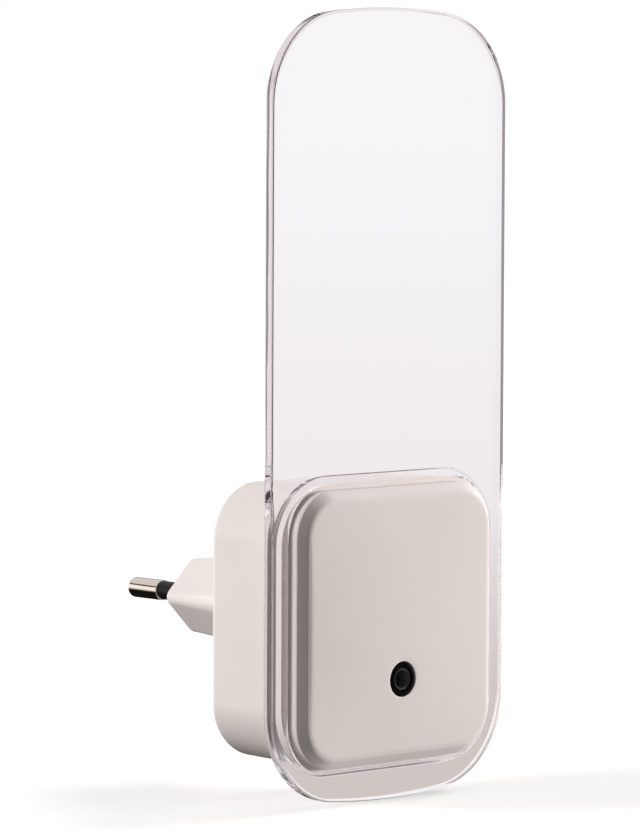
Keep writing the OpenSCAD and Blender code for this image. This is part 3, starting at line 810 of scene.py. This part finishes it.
# %% Loft of the cover
work = bmesh.new()
skin = work.verts.layers.float.new("skin")
loops = [place_ring(work, bore_outline(collar_radius), inner_face)]
loops += [place_ring(work, cushion_outline(i), d) for i, d in inside + outside]
inner_border = cushion_outline(bevel_wide)
hole_edge = bore_outline(hole_radius + bore_lip)
for k in range(1, FACE_RINGS + 1):
    t = 1 - k / FACE_RINGS
    blend = [
        (hx + (bx - hx) * t, hz + (bz - hz) * t)
        for (hx, hz), (bx, bz) in zip(hole_edge, inner_border)
    ]
    loops.append(place_ring(work, blend, face_edge))
face_loops = loops[-FACE_RINGS - 1:]
for radius, depth in arc(hole_radius + bore_lip, face_edge - bore_lip, bore_lip, 90, 180)[1:]:
    face_loops.append(place_ring(work, bore_outline(radius), depth))
    loops.append(face_loops[-1])
for loop in face_loops:
    for vert in loop:
        vert[skin] = 1.0
bore_back = inner_face - 1.4
loops.append(place_ring(work, bore_outline(hole_radius), bore_back))
loops.append(place_ring(work, bore_outline(collar_radius), bore_back))
wall(work, loops + [loops[0]])

# %% Crown its face, then cut the opening for the diodes' light
cap = grown(
    as_object(work, "cap"), crown_tree, "cap", Finish=white_shell,
    Crown=crown * MM, Middle_height=cover_middle * MM,
    Half_width=cover_width / 2 * MM, Half_height=cover_height / 2 * MM,
)


def block(name, low, high):
    """A plain box to cut with, from its lowest and highest corners in mm (x, depth, z)."""
    work = bmesh.new()
    bmesh.ops.create_cube(work, size=1.0)
    for vert in work.verts:
        vert.co = spot(*(a + (b - a) * (c + 0.5) for a, b, c in zip(low, high, vert.co)))
    return as_object(work, name)


def cut(obj, cutter):
    """Cuts one object out of another for good."""
    modifier = obj.modifiers.new("cut", "BOOLEAN")
    modifier.object = cutter
    modifier.solver = "EXACT"
    obj.data = applied(obj)
    bpy.data.objects.remove(cutter)


gate_half, gate_low, gate_high = 12.8, 17.2, 20.45
gate_back, gate_front = skirt_end - 0.5, recess_floor + 0.7
gate_corners = (-gate_half, gate_back, gate_low), (gate_half, gate_front, gate_high)
cut(cap, block("diode gate", *gate_corners))
print("cap after the cut:", len(cap.data.polygons), "faces")

# %% Four snap hooks on the skirt, as copies on points
skirt_x = cover_width / 2 - skirt_out
hook_low, hook_tip, hook_back = case_rim - 6.1, case_rim - 4.7, case_rim - 4.1
hook_half, hook_thick, hook_catch, hook_apart, hook_edge = 3.0, 1.0, 0.9, 11.0, 0.12
hook_shape = [(-hook_thick, case_rim), (0.0, case_rim), (0.0, hook_back),
              (hook_catch, hook_back), (hook_catch, hook_tip), (0.0, hook_low),
              (-hook_thick, hook_low)]
work = bmesh.new()
ends = [[work.verts.new(spot(x, d, z)) for x, d in hook_shape] for z in (-hook_half, hook_half)]
wall(work, ends)
work.faces.new(ends[0])
work.faces.new(ends[1])
bmesh.ops.recalc_face_normals(work, faces=work.faces)
edges = work.edges[:]
bmesh.ops.bevel(work, geom=edges, offset=hook_edge * MM, segments=2, profile=0.5, affect="EDGES")
hook = as_object(work, "hook")
hook_places = [(side * skirt_x, 0.0, case_middle + up * hook_apart, (0.0, turn, 0.0))
               for side, turn in ((-1, math.pi), (1, 0.0)) for up in (-1, 1)]
hook_points = points_object("hook points", hook_places)
hooks = grown(hook_points, copies_tree, "hooks", Piece=hook, Finish=white_shell)

# %% One finished cover
work = bmesh.new()
work.from_mesh(cap.data)
work.from_mesh(hooks.data)
for used in (cap, hook, hooks):
    bpy.data.objects.remove(used)
cover = finished(work, "cushion_cover")
cover.data.materials.append(white_shell)
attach(cover, "root")
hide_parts("front_cover")

# %% [markdown]
# ## The eye of the light sensor
#
# A black tube shades the sensor and ends a hair behind the face. Its mouth steps inwards to a
# domed lens of smoky epoxy. Both are turned parts. The small steps round the mouth catch the
# light in such a dark hole, and on the bead round the lens a highlight ring is painted as a
# lighter rim colour.

# %% Shade and lens
shade_top, shade_radius, shade_lip = cover_face - 0.25, 3.2, 0.3
lens_radius, lens_length, bead = 2.1, 5.9, 0.16
bore = lens_radius + 0.05
mouth = [(2.62, 0.0), (2.55, 0.12), (2.42, 0.14), (2.34, 0.05), (2.25, 0.06), (bore, 0.5)]
shade_profile = [(bore, board_front), (shade_radius, board_front)]
shade_profile += arc(shade_radius - shade_lip, shade_top - shade_lip, shade_lip, 0, 90, 4)
shade_profile += [(radius, shade_top - down) for radius, down in mouth]
shade = turned("shade_tube", shade_profile, sensor_x, sensor_z, closed=True)
dome, dome_top = 2.4 * lens_radius, shade_top + 0.05
dome_reach = math.degrees(math.asin((lens_radius - 2 * bead) / dome))
lens_profile = arc(0.0, dome_top - dome, dome, 90, 90 - dome_reach, 14)
lens_profile += arc(lens_radius - bead, lens_profile[-1][1], bead, 180, 0, 6)[1:]
lens_profile += [(lens_radius, dome_top - lens_length), (0.0, dome_top - lens_length)]
lens = turned("sensor_lens", lens_profile, sensor_x, sensor_z)
for obj, node, material, slot in (
    (shade, "sensor_shade", black_shade, "black_plastic"),
    (lens, "light_sensor", smoky_epoxy, "sensor_epoxy"),
):
    obj.data.materials.append(material)
    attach(obj, "root")
    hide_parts(node)

# %% [markdown]
# ## Screws and solder
#
# The four board screws are one turned screw with a cross cut into its head, copied onto the
# posts. Each copy is turned by a random angle, as screws end up in real life. The solder
# joints are small cones on the leads, each a little different in size.

# %% The screw
rise, head_radius, head_round, length = 1.6, 2.2, 0.5, 8.1
shank, thread_root, pitch, threads = 1.1, 0.82, 0.8, 8
slot_long, slot_half, slot_floor = 1.3, 0.3, rise - 0.9
screw_profile = [(0.0, rise)]
screw_profile += arc(head_radius - head_round, rise - head_round, head_round, 90, 0, 5)
screw_profile += [(head_radius, 0.0), (shank, 0.0), (shank, -0.6)]
for k in range(threads):
    top = -0.7 - pitch * k
    screw_profile += [(thread_root, top - 0.12), (thread_root, top - 0.42)]
    screw_profile += [(shank, top - 0.62), (shank, top - 0.72)]
screw_profile += [(thread_root, -length + 0.6), (0.0, -length)]
screw = turned("screw", screw_profile, steps=36)
for wide, deep in ((slot_long, slot_half), (slot_half, slot_long)):
    cut(screw, block("driver", (-wide, slot_floor, -deep), (wide, rise + 0.5, deep)))
weighted(screw)
screws_low, screws_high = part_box("board_screws")
unturned = (0.0, 0.0, 0.0)
posts = [(x, board_front, z, unturned)
         for x in (screws_low.x / MM + head_radius, screws_high.x / MM - head_radius)
         for z in (screws_low.z / MM + head_radius, screws_high.z / MM - head_radius)]
screws = grown(
    points_object("posts", posts), copies_tree, "board_screws_turned",
    Piece=screw, Finish=zinc, Turn_jitter=math.pi, Seed=4,
)
bpy.data.objects.remove(screw)
mark_rims(screws)
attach(screws, "root")
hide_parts("board_screws")

# %% The solder joints
cone = [(0.3, 0.0), (0.75, 0.0), (0.62, 0.07), (0.48, 0.2), (0.38, 0.42), (0.3, 0.62)]
joint = turned("joint", cone, steps=20, closed=True)
diodes_low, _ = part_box("left_led")
film_low, film_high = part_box("film_capacitor")
film_z = (film_low.z + film_high.z) / 2 / MM
board_low, board_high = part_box("circuit_board")
board_z = (board_low.z + board_high.z) / 2 / MM
lead_z = diodes_low.z / MM + 0.3
half_grid = 1.27
# Each component's leads, counted from the middle of the board
front_leads = [(-7.5, film_z), (7.5, film_z), (-5.5, board_z + 7.9), (5.5, board_z + 7.9)]
front_leads += [(-5.5, board_z - 7.0), (5.5, board_z - 7.0)]
front_leads += [(8.75, board_z - 14.4), (12.25, board_z - 14.4)]
front_leads += [(-9.5 + sx * 2 * half_grid, board_z - 13.4 + sz * 2 * half_grid)
                for sx in (-1, 1) for sz in (-1, 1)]
front_leads += [(k * half_grid, board_z - 17.9) for k in (-1, 0, 1)]
back_leads = [(sx * half_grid, sensor_z) for sx in (-1, 1)]
back_leads += [(k * 10 + sx * half_grid, lead_z) for k in (-1, 0, 1) for sx in (-1, 1)]
places = [(x, board_front, z, unturned) for x, z in front_leads]
places += [(x, board_back, z, (math.pi, 0.0, 0.0)) for x, z in back_leads]
solder = grown(
    points_object("joint points", places), copies_tree, "solder_joints",
    Piece=joint, Finish=solder_tin, Turn_jitter=1.0, Size_jitter=0.15, Seed=7,
)
bpy.data.objects.remove(joint)
mark_rims(solder)
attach(solder, "root")
print("solder joints:", len(places))

# %% [markdown]
# ## Dressing the engineering parts
#
# The other parts already have their true shapes. Their meshes come as loose triangles that
# can't be shaded smoothly, so each is copied, its seams are merged and its normals are
# weighted. The copy then stands for the engineering part, which keeps its own mesh.

# %% Copy, merge and dress


def dress(node, material):
    """A smooth-shaded copy of an engineering part in its finish."""
    obj = linked(node + "_dressed", nodes[node].data.copy())
    work = bmesh.new()
    work.from_mesh(obj.data)
    bmesh.ops.remove_doubles(work, verts=work.verts, dist=2e-6)
    work.to_mesh(obj.data)
    work.free()
    weighted(obj, sharp_angle=32)
    mark_rims(obj)
    obj.data.materials.clear()
    obj.data.materials.append(material)
    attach(obj, "root")
    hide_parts(node)


finishes = [
    (white_shell, "white_case", "rear_housing"),
    (nickel, "nickel_plate", "left_pin", "right_pin"),
    (black_sleeve, "black_plastic", "left_sleeve", "right_sleeve"),
    (off_white, "grey_plastic", "pin_retainer"),
    (zinc, "zinc_steel", "retainer_screw"),
    (brass, "contact_brass", "left_contact", "right_contact"),
    (laminate, "board_laminate", "circuit_board"),
    (off_white, "grey_plastic", "led_holder"),
    (led_epoxy, "led_epoxy", "left_led", "middle_led", "right_led"),
    (yellow_film, "yellow_film", "film_capacitor"),
    (capacitor_wrap, "capacitor_sleeve", "smoothing_capacitor"),
    (black_epoxy, "black_plastic", "bridge_rectifier"),
    (green_resistor, "resistor_green", "fuse_resistor"),
    (tan_resistor, "resistor_tan", "bleed_resistor"),
    (black_epoxy, "black_plastic", "switching_transistor"),
]
for material, slot, *names in finishes:
    for node in names:
        dress(node, material)
print("finishes:", len(finishes))

# %% [markdown]
# ## Camera
#
# The camera stands low and well to the left, far away behind a long lens, which keeps
# the panel's edges nearly parallel. Its place is told by two angles round a target point on
# the panel, a distance, and a roll of a quarter of a degree.

# %% Camera
azimuth, elevation, roll = math.radians(-44.0), math.radians(3.8), math.radians(0.25)
target = Vector((-18.52, -panel_front, 36.9)) * MM
distance = 0.901
backwards = Vector((
    math.sin(azimuth) * math.cos(elevation),
    -math.cos(azimuth) * math.cos(elevation),
    math.sin(elevation),
))
camera = linked("camera", bpy.data.cameras.new("camera"))
camera.data.sensor_width = 36.0
camera.data.lens = 211.8
camera.data.clip_start = 0.05
camera.location = target + backwards * distance
camera.rotation_mode = "QUATERNION"
camera.rotation_quaternion = Quaternion(backwards, roll) @ (-backwards).to_track_quat("-Z", "Y")
bpy.context.scene.camera = camera

# %% [markdown]
# ## Light
#
# Two softboxes stand to the left and right of the camera's line of sight, so light rakes
# across the faces that the camera sees and edges that point straight at it stay darker.
# A third hangs overhead. The room gives a little fill.

# %% Softboxes


def softbox(name, direction, reach, size, watts, colour=(1.0, 1.0, 1.0)):
    """An area light that faces the object's middle and is never seen or mirrored."""
    lamp = bpy.data.lights.new(name, "AREA")
    lamp.shape = "RECTANGLE"
    lamp.size, lamp.size_y = size
    lamp.energy = watts
    lamp.color = colour
    obj = linked(name, lamp)
    aim = Vector((0, -0.03, 0.02))
    away = Vector(direction).normalized()
    obj.location = aim + away * reach
    obj.rotation_mode = "QUATERNION"
    obj.rotation_quaternion = away.to_track_quat("Z", "Y")
    obj.visible_camera = obj.visible_glossy = obj.visible_transmission = False


across = Vector((math.cos(azimuth), math.sin(azimuth), 0))
upwards = Vector((0, 0, 1))
soft_white = (1.0, 0.985, 0.975)
from_left = -across + 0.12 * backwards + 0.3 * upwards
from_right = across - 0.1 * backwards + 0.1 * upwards
softbox("left softbox", from_left, 0.6, (0.2, 0.2), 3.6, soft_white)
softbox("right softbox", from_right, 1.2, (0.35, 0.3), 15.0, soft_white)
softbox("top softbox", (0.9, -0.1, 1.0), 0.8, (0.3, 0.3), 2.8)

# %% [markdown]
# ## Room and floor
#
# The room is white to the camera. What the clear plastic bends and mirrors is a room of its
# own: a pale backdrop, cool above, hazy lower down and warm behind the object at the height
# of the table. Inside the panel's edges a dark card on the left and a dark side behind the
# camera show as well. Without them a clear panel would vanish into white.

# %% The room
world = bpy.data.worlds.new("studio")
bpy.context.scene.world = world
world.use_nodes = True
tree = world.node_tree
tree.nodes.clear()
direction = tree.nodes.new("ShaderNodeTexCoord").outputs["Generated"]
parts = add(tree, "ShaderNodeSeparateXYZ", Vector=direction).outputs
height, wallwards = parts["Z"], parts["Y"]
WARM, HAZE = (0.62, 0.56, 0.535), (0.79, 0.755, 0.765)
MILKY, COOL = (0.875, 0.845, 0.855), (0.945, 0.935, 0.94)
DEEP, CARD = (0.30, 0.28, 0.29), (0.30, 0.27, 0.28)
towards = vector_maths(tree, "DOT_PRODUCT", direction, backwards)
table_top = spread(tree, height, -0.19, -0.16)
table_edge = spread(tree, height, -0.125, -0.085, 1.0, 0.0)
behind_object = spread(tree, towards, -0.97, -0.85, 1.0, 0.0)
hazy = tint(tree, spread(tree, height, -0.115, -0.08), HAZE, MILKY)
lower = tint(tree, maths(tree, "MULTIPLY", table_edge, behind_object), hazy, WARM)
lower = tint(tree, table_top, MILKY, lower)
backdrop = tint(tree, spread(tree, height, -0.085, -0.01), lower, COOL)

# %% What the inside of the panel mirrors: the same room with the dark side of the camera
camera_side = spread(tree, towards, 0.1, 0.75)
on_card = spread(tree, vector_maths(tree, "DOT_PRODUCT", direction, -across), 0.6, 0.85)
inside_panel = tint(tree, camera_side, tint(tree, on_card, backdrop, CARD), DEEP)
paths = tree.nodes.new("ShaderNodeLightPath").outputs
mirrored = maths(tree, "GREATER_THAN", paths["Glossy Depth"], 0.5)
seen_by_glass = tint(tree, mirrored, backdrop, inside_panel)

# %% What the plated pins mirror: a sheen, a dark line and a bright strip over a dark table
SHEEN, LINE = (0.95, 0.88, 0.90), (0.02, 0.01, 0.01)
BRIGHT, TABLE = (1.4, 1.34, 1.3), (0.01, 0.01, 0.01)
over_table = tint(tree, spread(tree, height, -0.30, -0.06), TABLE, BRIGHT)
over_strip = tint(tree, spread(tree, height, 0.31, 0.33), over_table, LINE)
over_line = tint(tree, spread(tree, height, 0.44, 0.46), over_strip, SHEEN)
first_mirror = maths(tree, "LESS_THAN", paths["Transmission Depth"], 0.5)
behind = spread(tree, wallwards, 0.3, 0.5)
on_metal = maths(tree, "MULTIPLY", maths(tree, "MULTIPLY", mirrored, first_mirror), behind)
seen_in_gloss = tint(tree, on_metal, seen_by_glass, over_line)
bent, glossy = paths["Is Transmission Ray"], paths["Is Glossy Ray"]
through = maths(tree, "MAXIMUM", bent, glossy)
camera_half = spread(tree, towards, 0.0, 0.7)
fill = tint(tree, camera_half, (0.20, 0.196, 0.192), (0.02, 0.02, 0.02))
for_matter = tint(tree, through, fill, seen_in_gloss)
room_colour = tint(tree, paths["Is Camera Ray"], for_matter, (1.0, 1.0, 1.0))
glow = add(tree, "ShaderNodeBackground", Color=room_colour)
add(tree, "ShaderNodeOutputWorld", Surface=glow.outputs["Background"])

# %% Enough bounces for light that runs along inside the panel
cycles = bpy.context.scene.cycles
cycles.max_bounces = 26
cycles.glossy_bounces = 22
cycles.transmission_bounces = 16
print("bounces:", cycles.max_bounces)

# %% The floor
floor_mesh = bpy.data.meshes.new("floor")
reach = 40.0
floor_z = panel_low.z
corners = [(x * reach, y * reach, floor_z) for x, y in ((-1, -1), (1, -1), (1, 1), (-1, 1))]
floor_mesh.from_pydata(corners, [], [(0, 1, 2, 3)])
floor = linked("floor", floor_mesh)
floor.visible_transmission = floor.visible_glossy = False
paper, tree, shader = blank_material("white floor")
seen = tree.nodes.new("ShaderNodeLightPath").outputs["Is Camera Ray"]
sheet = tint(tree, seen, (0.30, 0.295, 0.29), (0.72, 0.715, 0.71))
far = spread(tree, vector_maths(tree, "LENGTH", object_position(tree)), 0.2, 0.9, 0.43, 1.0)
feed(tree, shader, Base_Color=sheet, Roughness=0.9, Specular_IOR_Level=0.0)
feed(tree, shader, Emission_Color=(1.0, 1.0, 1.0, 1.0))
feed(tree, shader, Emission_Strength=maths(tree, "MULTIPLY", seen, far))
floor.data.materials.append(paper)

# %% Colour management
bpy.context.scene.view_settings.view_transform = "Standard"
